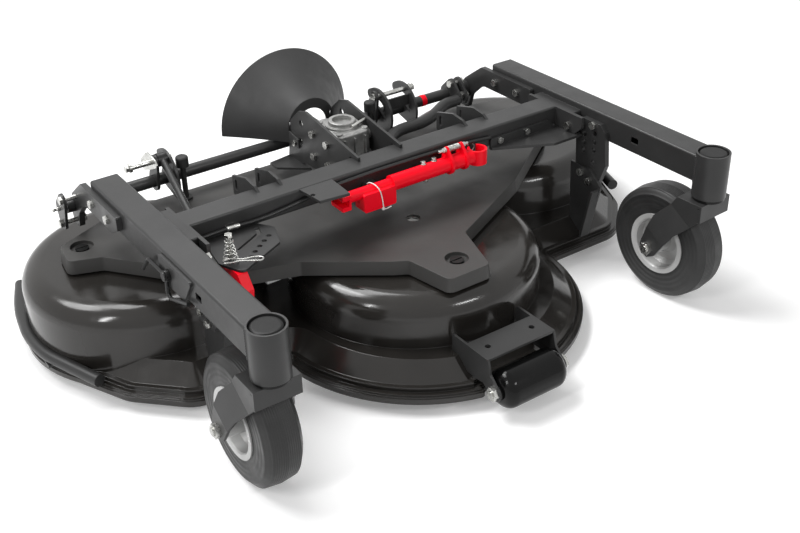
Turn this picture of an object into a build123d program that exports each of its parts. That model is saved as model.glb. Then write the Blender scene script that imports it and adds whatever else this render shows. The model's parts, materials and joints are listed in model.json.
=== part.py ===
"""Front-mounted lawn mower deck with three blades, 132 cm wide, on a caster frame.

The deck drives towards -Y, +Z is up and z = 0 is the ground. It is drawn about the point
midway between the two caster tubes, and written out about the point on the ground below
the middle of its box.
"""

import os
from math import atan2, cos, degrees, hypot, radians, sin, tan

from build123d import *

os.makedirs("parts", exist_ok=True)

# Fits
turn_fit = 0.05
hole_fit = 0.2
run_gap = 0.5
seat_gap = 0.3

# Deck shell
sheet = 3.0
deck_x = 16.0
side_pitch = 465.0
side_y = 632.0
middle_y = 350.0
rim_low = 20.0
rim_high = 42.0
step_high = 52.0
step_in = 10.0
wall_foot = 84.0
shoulder_slope = 50.0
dome_top = 188.0
dome_round = 46.0
lobe_u = 481.0
lobe_y = 645.0
side_wall_r = 252.0
middle_wall_r = 268.0
side_rim_r = 259.0
middle_rim_r = 343.0
middle_rim_y = 328.0
shoulder_y = 292.0
corner_u = 546.0
flank_u = 646.0
flank_y = 392.0
waist_u = 711.0
waist_y = 530.0
corner_round = 70.0
notch_round = 60.0
rear_y = 842.0
rear_depth = 330.0
rear_round = 40.0
bead_out = 5.0
bead_low = 23.0
bead_high = 39.0
discharge_w = 420.0
discharge_top = 120.0
discharge_round = 18.0

# Bumper tubes
bumper_r = 13.0
bumper_z = 57.0
bumper_path = ((686, 880), (722, 782), (740, 670), (735, 590), (680, 440))

# Belt cover
cover_top = 222.0
cover_sheet = 2.5
cover_skirt = 29.0
cover_lean = 9.0
cover_round = 6.0
cover_rear_y = 766.0
window_at = (24.0, 358.0)
window_r = 15.0
gearbox_hole_r = 38.0
screw_places = ((-583.0, 670.0), (615.0, 670.0), (-4.0, 172.0))
dimple_r = 24.0
dimple_depth = 8.0
post_r = 10.0
screw_r = 14.0

# Spindles
housing_r = 76.0
housing_bolts_r = 67.0
hub_r = 32.0
hub_h = 66.0
flange_t = 8.0
rib_t = 5.0
rib_foot = 12.0
rib_root = 3.0
spindle_r = 15.0
shoulder_r = 19.0
bearing_r = 26.0
bearing_h = 15.0
bearing_lip = 2.0
nut_r = 10.0
carriage_head_r = 7.0
carriage_head_h = 2.0

# Blades
side_blade = 450.0
middle_blade = 500.0
blade_w = 60.0
blade_t = 5.0
blade_z = 60.0
wing_rise = 18.0
wing_len = 95.0
blade_bolt_r = 8.0
blade_seat_r = 28.0

# Belts and pulleys
pulley_r = 58.0
drive_pulley_r = 50.0
pulley_edge = 1.4
belt_w = 11.0
belt_h = 7.0
belt_gap = 0.4
belt_root_w = 6.0
pulley_base = 190.5

# Caster frame
arm_x = 515.0
arm_w = 60.0
arm_wall = 4.0
arm_top = 360.0
arm_rear = 665.0
slot_y = 187.0
slot_l = 22.0
slot_h = 14.0
caster_tube_r = 35.0
caster_bore_r = 31.0
caster_tube_low = 269.0
caster_tube_top = 366.0
beam_y = 435.0
beam_w = 62.0
beam_top = 345.0
beam_low = 300.0
beam_half = 455.0
beam_wall = 4.0
end_plate_t = 8.0
plate_t = 6.0
lug_places = (-290.0, -238.0, 228.0, 285.0)

# Caster forks and wheels
stem_r = 15.0
trail = 90.0
wheel_r = 127.0
tyre_half = 37.0
tyre_wall = 9.0
rim_r = 68.0
rim_half = 39.0
barrel_r = 60.0
axle_r = 8.0
fork_top = 262.0
fork_sheet = 6.0
fork_half = 45.0
leg_half = 66.0
right_swivel = 3.0
bush_h = 20.0
bush_top = 344.0
ring_t = 3.0

# Cross tube at the rear
cross_y = 760.0
cross_z = 271.0
cross_r = 13.5
cross_left = -574.0
cross_right = 460.0
neck_t = 12.0
crank_pin_y = 744.0
crank_pin_z = 324.0
crank_pin_r = 6.0
crank_half = 12.0
crank_high = (782.5, 317.3)
crank_mid = (713.4, 302.0)
crank_low = (715.7, 250.5)
crank_hub_r = 22.0

# Gearbox
gear_y = 586.0
gear_w = 86.0
gear_d = 100.0
gear_top = 360.0
gear_low = 262.0
input_z = 315.0
input_r = 17.0
output_r = 14.0
bracket_in = 50.0

# Guard over the drive shaft
guard_sheet = 4.0
guard_low = 287.0

# Roller
roller_x = 2.0
roller_y = -43.0
roller_z = 57.0
roller_r = 40.0
roller_half = 74.0
roller_end = 22.0
roller_plate_in = 78.0
roller_plate_t = 5.0
roller_top = 121.0
roller_axle_r = 8.0
notch_y = 8.0

sides = ((-1, "left"), (1, "right"))
spindles = {
    "left": (deck_x - side_pitch, side_y),
    "middle": (deck_x, middle_y),
    "right": (deck_x + side_pitch, side_y),
}


middle_of_box = (deck_x, (lobe_y + side_rim_r + bead_out + roller_y - roller_r) / 2, 0)


def done(part, name):
    """Label a finished piece and write its file, about the middle of the box."""
    piece = part.moved(Location(middle_of_box).inverse())
    piece.label = name
    export_step(piece, f"parts/{name}.step")


def yz(x):
    """Plane at a station along X, drawn with Y to the right and Z up."""
    return Plane(origin=(x, 0, 0), x_dir=(0, 1, 0), z_dir=(1, 0, 0))


def xz(y):
    """Plane at a station along Y, drawn with X to the right and Z up."""
    return Plane(origin=(0, y, 0), x_dir=(1, 0, 0), z_dir=(0, -1, 0))


def xy(z):
    """Level plane at a height."""
    return Plane.XY.offset(z)


def outline(plane, points, radius=0):
    """Closed outline on a plane, with its corners rounded."""
    with BuildSketch(plane) as face:
        with BuildLine():
            Polyline(*points, close=True)
        make_face()
        if radius:
            fillet(face.vertices(), radius)
    return face.sketch


def dots(plane, points, radius):
    """Circles of one radius on a plane."""
    with BuildSketch(plane) as face:
        with Locations(*points):
            Circle(radius)
    return face.sketch


def bends(points, most):
    """Bend radius at each inner point of a route, as large as its runs allow."""
    radii = []
    for before, here, after in zip(points, points[1:], points[2:]):
        first = Vector(*here) - Vector(*before)
        second = Vector(*after) - Vector(*here)
        half_turn = radians(first.get_angle(second)) / 2
        radii.append(min(most, 0.45 * min(first.length, second.length) / tan(half_turn)))
    return radii


def round_bar(points, radius, bend=1000.0):
    """Bar or cable of round section along straight runs and arcs."""
    with BuildPart() as bar:
        with BuildLine() as path:
            FilletPolyline(*points, radius=bends(points, bend))
        with BuildSketch(Plane(origin=path.line @ 0, z_dir=path.line % 0)):
            Circle(radius)
        sweep()
    return bar.part


def hex_bolt(at, way, grip, size=10.0, nut=True):
    """Hex bolt through a grip, with its head on one face and a nut on the other."""
    plane = Plane(origin=at, z_dir=way)
    with BuildPart() as bolt:
        with BuildSketch(plane.offset(-0.65 * size)):
            RegularPolygon(0.82 * size, 6, major_radius=False)
        extrude(amount=0.65 * size)
        with BuildSketch(plane):
            Circle(size / 2)
        extrude(amount=grip + (size if nut else 0))
        if nut:
            with BuildSketch(plane.offset(grip)):
                RegularPolygon(0.82 * size, 6, major_radius=False)
            extrude(amount=0.8 * size)
    return bolt.part


def about(side, points):
    """Plan points of the deck's right half, put on either half."""
    return [(deck_x + side * u, y) for u, y in points]


# Deck shell


def rim_plan(inset, z):
    """Plan outline of the rim, moved inwards by an inset."""
    flank = [(corner_u, shoulder_y), (flank_u, flank_y), (waist_u, waist_y), (lobe_u, lobe_y)]
    with BuildSketch(xy(z)) as plan:
        with Locations((deck_x, middle_rim_y)):
            Circle(middle_rim_r)
        with BuildLine():
            Polyline(*about(1, flank), *reversed(about(-1, flank)), close=True)
        make_face()
        with Locations(*about(-1, [(lobe_u, lobe_y)]), *about(1, [(lobe_u, lobe_y)])):
            Circle(side_rim_r)
        with Locations((deck_x, (side_y + rear_y) / 2)):
            Rectangle(2 * side_pitch, rear_y - side_y)
        shoulders = [v for v in plan.vertices() if shoulder_y - 1 < v.Y < flank_y + 1]
        fillet([v for v in shoulders if abs(v.X - deck_x) > corner_u - 1], corner_round)
        fillet([v for v in shoulders if abs(v.X - deck_x) < middle_rim_r + 60], notch_round)
        with Locations((roller_x, middle_rim_y - middle_rim_r)):
            Rectangle(2 * roller_plate_in, 2 * (notch_y - middle_rim_y + middle_rim_r),
                      mode=Mode.SUBTRACT)
        if inset:
            offset(amount=-inset)
    return plan.sketch


def skirt_form(inset):
    """Rim, step and sloping shoulder below the domes."""
    low = rim_low - inset
    with BuildPart() as skirt:
        extrude(rim_plan(inset, low), amount=rim_high - inset - low)
        extrude(rim_plan(step_in + inset, rim_high - sheet - inset), amount=step_high - rim_high + sheet)
        extrude(rim_plan(2 * step_in + inset, step_high - inset),
                amount=wall_foot - step_high, taper=shoulder_slope)
    return skirt.part


def dome_form(place, wall_r, inset):
    """Domed chamber over one blade."""
    foot = rim_high - sheet - inset
    with BuildPart() as dome:
        extrude(dots(xy(foot), [place], wall_r - inset), amount=dome_top - inset - foot)
        fillet(dome.faces().sort_by(Axis.Z)[-1].edges(), dome_round - inset)
    return dome.part


def rear_form(inset):
    """Flat rear platform between the two side domes."""
    with BuildPart() as rear:
        with BuildSketch(xy(rim_low - inset)):
            with Locations((deck_x, rear_y - rear_depth / 2 - inset / 2)):
                Rectangle(2 * side_pitch - 40, rear_depth - inset)
        extrude(amount=dome_top - rim_low)
        fillet(rear.faces().sort_by(Axis.Z)[-1].edges().sort_by(Axis.Y)[-1], rear_round - inset)
    return rear.part


domes = [(spot, side_wall_r) for side, _ in sides for spot in about(side, [(lobe_u, lobe_y)])]
domes += [(spindles["middle"], middle_wall_r)]

with BuildPart() as deck_shell:
    add(skirt_form(0))
    extrude(rim_plan(-bead_out, bead_low + 3), amount=bead_high - bead_low - 6)
    extrude(rim_plan(-bead_out + 2, bead_low), amount=bead_high - bead_low)
    for place, wall_r in domes:
        add(dome_form(place, wall_r, 0))
    add(rear_form(0))
    extrude(dots(xy(dome_top - sheet), screw_places, post_r),
            amount=cover_top - dimple_depth - cover_sheet - dome_top + sheet)
    add(skirt_form(sheet), mode=Mode.SUBTRACT)
    for place, wall_r in domes:
        add(dome_form(place, wall_r, sheet), mode=Mode.SUBTRACT)
    add(rear_form(sheet), mode=Mode.SUBTRACT)
    with BuildSketch(xy(dome_top - 2 * sheet)):
        for place in spindles.values():
            with Locations(place):
                Circle(spindle_r + 5)
                with PolarLocations(housing_bolts_r, 4, 45):
                    Circle(4 + hole_fit)
    extrude(amount=3 * sheet, mode=Mode.SUBTRACT)
    with BuildSketch(xz(rear_y + 30)):
        with Locations((deck_x, discharge_top / 2)):
            RectangleRounded(discharge_w, discharge_top, discharge_round)
    extrude(amount=60, mode=Mode.SUBTRACT)
done(deck_shell.part, "deck_shell")

with BuildPart() as bumper_tubes:
    for side, _ in sides:
        route = [(x, y, bumper_z) for x, y in about(side, bumper_path)]
        add(round_bar(route, bumper_r))
        for y in (560.0, 700.0):
            tab = about(side, [(lobe_u + side_rim_r - 19, y), (bumper_path[2][0], y),
                               (bumper_path[2][0], y + 24), (lobe_u + side_rim_r - 19, y + 24)])
            extrude(outline(xy(rim_high), tab), amount=5)
    add(skirt_form(0), mode=Mode.SUBTRACT)
    for place, wall_r in domes[:2]:
        add(dome_form(place, wall_r, 0), mode=Mode.SUBTRACT)
done(bumper_tubes.part, "bumper_tubes")


# Belt cover


def cover_form(inset):
    """Raised cover with leaning sides over the belts."""
    wing = [(-64, 115), (33, 115), (73, 244), (305, 362)]
    tab = [(539, 529), (597, 602), (661, 626), (652, 694), (546, 745), (450, cover_rear_y)]
    rear = [(-420, cover_rear_y), (-514, 745), (-620, 694), (-629, 626), (-565, 602)]
    front = [(-507, 529), (-401, 392), (-258, 345), (-112, 236), (-84, 220)]
    with BuildPart() as form:
        with BuildSketch(xy(cover_top - inset)) as top:
            with BuildLine():
                Polyline(*wing, *tab, *rear, *front, close=True)
            make_face()
            fillet(top.vertices(), 14)
            offset(amount=-inset)
        extrude(amount=-cover_skirt - inset, taper=-cover_lean)
    return form.part


with BuildPart() as belt_cover:
    add(cover_form(0))
    add(cover_form(cover_sheet), mode=Mode.SUBTRACT)
    extrude(dots(xy(cover_top - dimple_depth - cover_sheet), screw_places, dimple_r + cover_sheet),
            amount=dimple_depth + cover_sheet)
    extrude(dots(xy(cover_top - dimple_depth), screw_places, dimple_r), amount=dimple_depth,
            mode=Mode.SUBTRACT)
    extrude(dots(xy(cover_top - 20), screw_places, 5 + hole_fit), amount=20, mode=Mode.SUBTRACT)
    extrude(dots(xy(cover_top - 10), [window_at], window_r), amount=10, mode=Mode.SUBTRACT)
    extrude(dots(xy(cover_top - 10), [(0, gear_y)], gearbox_hole_r), amount=10, mode=Mode.SUBTRACT)
done(belt_cover.part, "belt_cover")

with BuildPart() as cover_screws:
    for x, y in screw_places:
        head_z = cover_top - dimple_depth
        extrude(dots(xy(head_z), [(x, y)], screw_r), amount=5)
        extrude(dots(xy(head_z - cover_sheet), [(x, y)], 5), amount=cover_sheet)
        extrude(outline(xy(head_z + 2.5), [(x - 16, y - 1.5), (x + 16, y - 1.5), (x + 16, y + 1.5),
                                           (x - 16, y + 1.5)]), amount=4, mode=Mode.SUBTRACT)
done(cover_screws.part, "cover_screws")


# Spindles

inner_top = dome_top - sheet
hub_low = inner_top - hub_h
low_bearing = hub_low + bearing_lip
high_bearing = inner_top - bearing_lip - bearing_h
pulley_h = belt_w + 2 * belt_gap + pulley_edge
blade_belt_z = pulley_base + pulley_edge + belt_w / 2 + belt_gap
drive_belt_z = blade_belt_z + pulley_h
single_top = pulley_base + pulley_h + pulley_edge
double_top = single_top + pulley_h
blade_top = blade_z + blade_t / 2


def around(center, offset_r, count, start):
    """Places on a circle about a centre."""
    angles = [radians(start + 360 * turn / count) for turn in range(count)]
    return [(center[0] + offset_r * cos(a), center[1] + offset_r * sin(a)) for a in angles]


with BuildPart() as spindle_housings:
    for place in spindles.values():
        extrude(dots(xy(inner_top - flange_t), [place], housing_r), amount=flange_t)
        extrude(dots(xy(hub_low), [place], hub_r), amount=hub_h)
        for turn in (0, 90, 180, 270):
            upright = Plane(origin=(place[0], place[1], 0), x_dir=(cos(radians(turn)), sin(radians(turn)), 0),
                            z_dir=(sin(radians(turn)), -cos(radians(turn)), 0))
            rib = [(hub_r - rib_root, hub_low + rib_foot), (hub_r + 1, hub_low + rib_foot),
                   (housing_r - 3, inner_top - flange_t + 2), (hub_r - rib_root, inner_top - flange_t + 2)]
            extrude(outline(upright, rib), amount=rib_t / 2, both=True)
        extrude(dots(xy(hub_low), [place], bearing_r - 4), amount=hub_h, mode=Mode.SUBTRACT)
        extrude(dots(xy(low_bearing), [place], bearing_r + turn_fit), amount=bearing_h, mode=Mode.SUBTRACT)
        extrude(dots(xy(high_bearing), [place], bearing_r + turn_fit), amount=inner_top - high_bearing,
                mode=Mode.SUBTRACT)
        extrude(dots(xy(hub_low), around(place, housing_bolts_r, 4, 45), 4 + hole_fit),
                amount=hub_h, mode=Mode.SUBTRACT)
done(spindle_housings.part, "spindle_housings")

with BuildPart() as spindle_bearings:
    for place in spindles.values():
        for base in (low_bearing, high_bearing):
            extrude(dots(xy(base), [place], bearing_r), amount=bearing_h)
            extrude(dots(xy(base), [place], spindle_r + turn_fit), amount=bearing_h, mode=Mode.SUBTRACT)
done(spindle_bearings.part, "spindle_bearings")

with BuildPart() as spindle_bolts:
    for place in spindles.values():
        for x, y in around(place, housing_bolts_r, 4, 45):
            extrude(dots(xy(dome_top), [(x, y)], carriage_head_r), amount=carriage_head_h)
            extrude(dots(xy(inner_top - flange_t - 8), [(x, y)], 4), amount=flange_t + 8 + sheet)
            with BuildSketch(xy(inner_top - flange_t - 6)):
                with Locations((x, y)):
                    RegularPolygon(6.5, 6, major_radius=False)
            extrude(amount=6)
done(spindle_bolts.part, "spindle_bolts")


def pulley_grooves(place, radius, levels):
    """Ring that cuts one V groove per level from a pulley."""
    half_out = belt_w / 2 + belt_gap
    half_in = belt_root_w / 2 + belt_gap
    root = radius - belt_h - belt_gap
    plane = Plane(origin=(place[0], place[1], 0), x_dir=(1, 0, 0), z_dir=(0, -1, 0))
    with BuildPart() as ring:
        for z in levels:
            with BuildSketch(plane):
                with BuildLine():
                    Polyline((root, z - half_in), (radius + 1, z - half_out - 0.3),
                             (radius + 1, z + half_out + 0.3), (root, z + half_in), close=True)
                make_face()
        revolve(axis=Axis((place[0], place[1], 0), (0, 0, 1)))
    return ring.part


for tag, place in spindles.items():
    top = double_top if tag == "middle" else single_top
    levels = [blade_belt_z, drive_belt_z] if tag == "middle" else [blade_belt_z]
    blade_r = (middle_blade if tag == "middle" else side_blade) / 2

    with BuildPart() as spindle_shaft:
        extrude(dots(xy(blade_top), [place], blade_seat_r), amount=8)
        extrude(dots(xy(blade_top), [place], shoulder_r), amount=low_bearing - run_gap - blade_top)
        extrude(dots(xy(blade_top), [place], spindle_r), amount=top - 8 - blade_top)
        extrude(dots(xy(blade_top), [place], nut_r), amount=top - blade_top)
        extrude(dots(xy(blade_top), [place], blade_bolt_r + hole_fit), amount=42, mode=Mode.SUBTRACT)
    done(spindle_shaft.part, f"spindle_shaft_{tag}")

    with BuildPart() as spindle_pulley:
        extrude(dots(xy(pulley_base), [place], pulley_r), amount=top - pulley_base)
        add(pulley_grooves(place, pulley_r, levels), mode=Mode.SUBTRACT)
        extrude(dots(xy(pulley_base), [place], spindle_r + turn_fit), amount=60, mode=Mode.SUBTRACT)
        extrude(dots(xy(top - 8), [place], 20), amount=10, mode=Mode.SUBTRACT)
        with BuildSketch(xy(top - 8 + turn_fit)):
            with Locations(place):
                RegularPolygon(spindle_r + 1, 6, major_radius=False)
                Circle(nut_r + turn_fit, mode=Mode.SUBTRACT)
        extrude(amount=7)
    done(spindle_pulley.part, f"spindle_pulley_{tag}")

    with BuildPart() as blade:
        with BuildSketch(xy(blade_z - blade_t / 2)):
            with Locations(place):
                Rectangle(2 * blade_r, blade_w)
        extrude(amount=blade_t)
        for turn in (0, 180):
            lift_plane = Plane(origin=(place[0], place[1], 0), x_dir=(cos(radians(turn)), sin(radians(turn)), 0),
                               z_dir=(0, 0, 1))
            wing_plane = Plane(origin=lift_plane.from_local_coords((blade_r - wing_len, 0, 0)),
                               x_dir=lift_plane.y_dir, z_dir=lift_plane.x_dir)
            back = blade_w / 2
            low = blade_z - blade_t / 2
            extrude(outline(wing_plane, [(back - 20, low), (back, low + wing_rise), (back, low + wing_rise + blade_t),
                                         (back - 20, low + blade_t)]), amount=wing_len)
            extrude(outline(wing_plane, [(back - 19.5, low - 1), (back + 1, low - 1), (back + 1, low + wing_rise),
                                         (back, low + wing_rise)]), amount=wing_len, mode=Mode.SUBTRACT)
            extrude(outline(wing_plane, [(-back - 1, low - 1), (-back + 14, low - 1), (-back - 1, low + blade_t + 1)]),
                    amount=wing_len, mode=Mode.SUBTRACT)
            extrude(outline(Plane(origin=lift_plane.from_local_coords((0, 0, low - 1)), x_dir=lift_plane.x_dir,
                                  z_dir=(0, 0, 1)),
                            [(blade_r - 22, -back - 1), (blade_r + 1, -back - 1), (blade_r + 1, -back + 18)]),
                    amount=40, mode=Mode.SUBTRACT)
        extrude(dots(xy(blade_z - 10), [place], blade_bolt_r + hole_fit), amount=20, mode=Mode.SUBTRACT)
    done(blade.part, f"blade_{tag}")

    with BuildPart() as blade_bolt:
        low = blade_z - blade_t / 2
        extrude(dots(xy(low - 3), [place], 22), amount=3)
        with BuildSketch(xy(low - 13)):
            with Locations(place):
                RegularPolygon(12, 6, major_radius=False)
        extrude(amount=10)
        extrude(dots(xy(low - 13), [place], blade_bolt_r), amount=13 + blade_t + 38)
    done(blade_bolt.part, f"blade_bolt_{tag}")


def loop_plan(rounds, grow, z):
    """Plan of a loop pulled tight around a set of circles."""
    with BuildSketch(xy(z)) as loop:
        for x, y, radius in rounds:
            with Locations((x, y)):
                Circle(radius + grow)
        make_hull()
    return loop.sketch


def belt_loop(rounds, z):
    """V belt in its grooves around a set of pulleys."""
    with BuildPart() as belt:
        extrude(loop_plan(rounds, 0, z - belt_w / 2), amount=belt_w)
        extrude(loop_plan(rounds, -belt_h, z - belt_w / 2), amount=belt_w, mode=Mode.SUBTRACT)
        for way in (-1, 1):
            root = loop_plan(rounds, -belt_h, z + way * belt_root_w / 2)
            back = loop_plan(rounds, 0, z + way * belt_w / 2)
            loft([root, back], mode=Mode.SUBTRACT)
    return belt.part


wrap = [(place[0], place[1], pulley_r) for place in spindles.values()]
with BuildPart() as blade_belt:
    add(belt_loop(wrap, blade_belt_z))
done(blade_belt.part, "blade_belt")

with BuildPart() as drive_belt:
    add(belt_loop([(0, gear_y, drive_pulley_r), (deck_x, middle_y, pulley_r)], drive_belt_z))
done(drive_belt.part, "drive_belt")


# Caster frame

end_plate = ((beam_y - 116, beam_top), (beam_y + 61, beam_top), (beam_y + 61, beam_low + 8),
             (beam_y + 40, beam_low), (beam_y - 95, beam_low), (beam_y - 116, beam_low + 20))
pad_bolts = ((beam_y - 74, beam_low + 14), (beam_y + 46, beam_low + 24))
pad_gap = arm_x - arm_w / 2 - beam_half - end_plate_t
height_plate_t = 12.0
height_plate = ((335, 338), (278, 338), (262, 322), (255, 245), (277, 186), (345, 180), (352, 300))
height_holes = ((325, 301), (325, 281), (325, 261), (293, 312), (293, 291), (293, 271), (293, 241))
height_bolts = ((323, 209), (296, 196))
bracket_bolts = ((323, 209), (296, 196))
height_top_bolts = ((300, 330), )
neck_bolts = ((560, 323), (640, 323))
latch_at = (294.0, 326.0)
latch_pin_r = 5.0
latch_reach = 15.0
arm_side = arm_x + arm_w / 2
arm_inner = arm_x - arm_w / 2

for side, tag in sides:
    x = side * arm_x
    with BuildPart() as arm:
        with BuildSketch(xz(0)):
            with Locations((x, arm_top - arm_w / 2)):
                RectangleRounded(arm_w, arm_w, 5)
        extrude(amount=-arm_rear)
        extrude(dots(xy(caster_tube_low), [(x, 0)], caster_tube_r), amount=caster_tube_top - caster_tube_low)
        with BuildSketch(xz(0)):
            with Locations((x, arm_top - arm_w / 2)):
                RectangleRounded(arm_w - 2 * arm_wall, arm_w - 2 * arm_wall, 2)
        extrude(amount=-arm_rear + arm_wall, mode=Mode.SUBTRACT)
        extrude(dots(xy(caster_tube_low), [(x, 0)], caster_tube_r), amount=caster_tube_top - caster_tube_low)
        extrude(dots(xy(caster_tube_low), [(x, 0)], caster_bore_r), amount=caster_tube_top - caster_tube_low,
                mode=Mode.SUBTRACT)
        with BuildSketch(yz(x - arm_w)):
            with Locations((slot_y, arm_top - arm_w / 2)):
                RectangleRounded(slot_l, slot_h, 3)
        extrude(amount=2 * arm_w, mode=Mode.SUBTRACT)
        pad_start = side * arm_inner
        extrude(outline(yz(pad_start), [(beam_y - 82, beam_low + 1), (beam_y + 55, beam_low + 1),
                                        (beam_y + 55, beam_top), (beam_y - 82, beam_top)], 4),
                amount=-side * pad_gap)
        for y, z in pad_bolts:
            extrude(dots(yz(pad_start), [(y, z)], 5 + hole_fit), amount=-side * pad_gap, mode=Mode.SUBTRACT)
        extrude(dots(yz(x - arm_w), neck_bolts, 5 + hole_fit), amount=2 * arm_w, mode=Mode.SUBTRACT)
        extrude(dots(yz(x - arm_w / 2), height_top_bolts, 5 + hole_fit), amount=arm_w, mode=Mode.SUBTRACT)
        if side < 0:
            extrude(outline(yz(-arm_side), [(200, 352), (334, 352), (334, 318), (300, 300), (236, 300)], 5),
                    amount=-plate_t)
            extrude(dots(yz(-arm_side), [latch_at], latch_pin_r), amount=-latch_reach - 3)
            extrude(dots(yz(-arm_side - latch_reach), [latch_at], latch_pin_r + 4), amount=-3)
    done(arm.part, f"arm_{tag}")

with BuildPart() as cross_beam:
    for inset, mode in ((0, Mode.ADD), (beam_wall, Mode.SUBTRACT)):
        with BuildSketch(yz(-beam_half)):
            with Locations((beam_y, (beam_low + beam_top) / 2)):
                RectangleRounded(beam_w - 2 * inset, beam_top - beam_low - 2 * inset, 5 - inset / 2)
        extrude(amount=2 * beam_half, mode=mode)
    for side, _ in sides:
        extrude(outline(yz(side * beam_half), end_plate), amount=side * end_plate_t)
        extrude(dots(yz(side * beam_half), pad_bolts, 5 + hole_fit), amount=side * end_plate_t,
                mode=Mode.SUBTRACT)
    rear = beam_y + beam_w / 2
    for x in lug_places:
        lug = [(549, beam_low), (549, 342), (490, 358), (455, 354), (441, beam_top), (rear, beam_top),
               (rear, beam_low)]
        extrude(outline(yz(x), lug), amount=plate_t)
        with BuildSketch(yz(x)):
            with Locations((533, 326)):
                SlotOverall(24, 9, rotation=90)
        extrude(amount=plate_t, mode=Mode.SUBTRACT)
    front = beam_y - beam_w / 2
    tab = [(-141, front), (-145, 331), (-209, 338), (-216, front)]
    extrude(outline(xy(beam_top - plate_t), tab), amount=plate_t)
    extrude(dots(xy(beam_top - plate_t), [(-207, 368)], 5), amount=plate_t, mode=Mode.SUBTRACT)
    for x, reach in ((-70, 15), (92, 12)):
        extrude(outline(xz(front), [(x, 302), (x + 24, 302), (x + 24, 317), (x, 317)]),
                amount=reach - seat_gap)
done(cross_beam.part, "cross_beam")

with BuildPart() as tube_caps:
    for side, _ in sides:
        extrude(dots(xy(caster_tube_top - 12), [(side * arm_x, 0)], caster_bore_r - seat_gap), amount=11)
    fillet(tube_caps.faces().sort_by(Axis.Z)[-2:].edges(), 8)
done(tube_caps.part, "tube_caps")

with BuildPart() as caster_bushes:
    for side, _ in sides:
        spot = [(side * arm_x, 0)]
        extrude(dots(xy(fork_top + run_gap), spot, caster_bore_r + 2), amount=caster_tube_low - fork_top - run_gap)
        extrude(dots(xy(caster_tube_low), spot, caster_bore_r - turn_fit), amount=bush_h)
        extrude(dots(xy(bush_top - bush_h), spot, caster_bore_r - turn_fit), amount=bush_h)
        extrude(dots(xy(fork_top), spot, stem_r + turn_fit), amount=100, mode=Mode.SUBTRACT)
done(caster_bushes.part, "caster_bushes")

# Height adjustment

sector = ((-432, front), (-316, front), (-295, 370), (-316, 313), (-423, 258), (-446, 311))
sector_top = 303.0
sector_t = 5.0
lever_bolt = (-424.0, 305.0)
lever_pin = (325.0, 280.0)
with BuildPart() as sector_plate:
    extrude(outline(xy(sector_top - sector_t), sector), amount=sector_t)
    fillet(sector_plate.edges().filter_by(Axis.Z).group_by(Axis.Y)[0], 12)
    with BuildSketch(xy(sector_top - sector_t)):
        with BuildLine():
            Polyline((-325, 388), (-332, 366), (-393, 332))
        trace(line_width=9)
    extrude(amount=sector_t, mode=Mode.SUBTRACT)
    detents = [(-321 - 16.7 * step, 347 - 12.5 * step) for step in range(5)]
    extrude(dots(xy(sector_top - sector_t), detents, 5), amount=sector_t, mode=Mode.SUBTRACT)
    extrude(dots(xy(sector_top - sector_t), [lever_bolt], 4 + hole_fit), amount=sector_t, mode=Mode.SUBTRACT)
done(sector_plate.part, "sector_plate")

with BuildPart() as height_lever:
    under = sector_top - sector_t
    hook = [(338, under), (262, under), (240, 270), (244, 248), (260, 245), (290, 264), (338, 264)]
    extrude(outline(yz(-434), hook, 3), amount=20)
    extrude(dots(yz(-440), [lever_pin], 5 + hole_fit), amount=40, mode=Mode.SUBTRACT)
    extrude(dots(xy(240), [lever_bolt], 4 + hole_fit), amount=60, mode=Mode.SUBTRACT)
done(height_lever.part, "height_lever")

with BuildPart() as gusset_plate:
    gusset = [(264, front), (264, 395), (390, 330), (470, 330), (477, front)]
    extrude(outline(xy(beam_low - plate_t), gusset), amount=plate_t)
    extrude(outline(xz(front), [(264, beam_low), (264, 320), (430, 320), (450, beam_low)]), amount=plate_t)
    extrude(dots(xz(front), [(289, 311), (366, 311)], 4 + hole_fit), amount=plate_t, mode=Mode.SUBTRACT)
done(gusset_plate.part, "gusset_plate")

for side, tag in sides:
    with BuildPart() as plate:
        extrude(outline(yz(side * arm_inner), height_plate, 4), amount=-side * height_plate_t)
        extrude(dots(yz(side * arm_inner), height_holes, 6), amount=-side * height_plate_t, mode=Mode.SUBTRACT)
        extrude(dots(yz(side * arm_inner), height_bolts + height_top_bolts, 5 + hole_fit),
                amount=-side * height_plate_t, mode=Mode.SUBTRACT)
    done(plate.part, f"height_plate_{tag}")

with BuildPart() as deck_brackets:
    for side, _ in sides:
        face = side * (arm_inner - height_plate_t - seat_gap)
        bracket = [(258, 195), (296, 60), (350, 60), (357, 225), (296, 225)]
        extrude(outline(yz(face), bracket), amount=-side * plate_t)
        extrude(outline(yz(face), [(290, 60), (296, 60), (268, 186), (262, 186)]), amount=-side * 26)
        extrude(dots(yz(face), height_bolts, 5 + hole_fit), amount=-side * plate_t, mode=Mode.SUBTRACT)
    add(skirt_form(0), mode=Mode.SUBTRACT)
done(deck_brackets.part, "deck_brackets")

# Rear linkage

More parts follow.
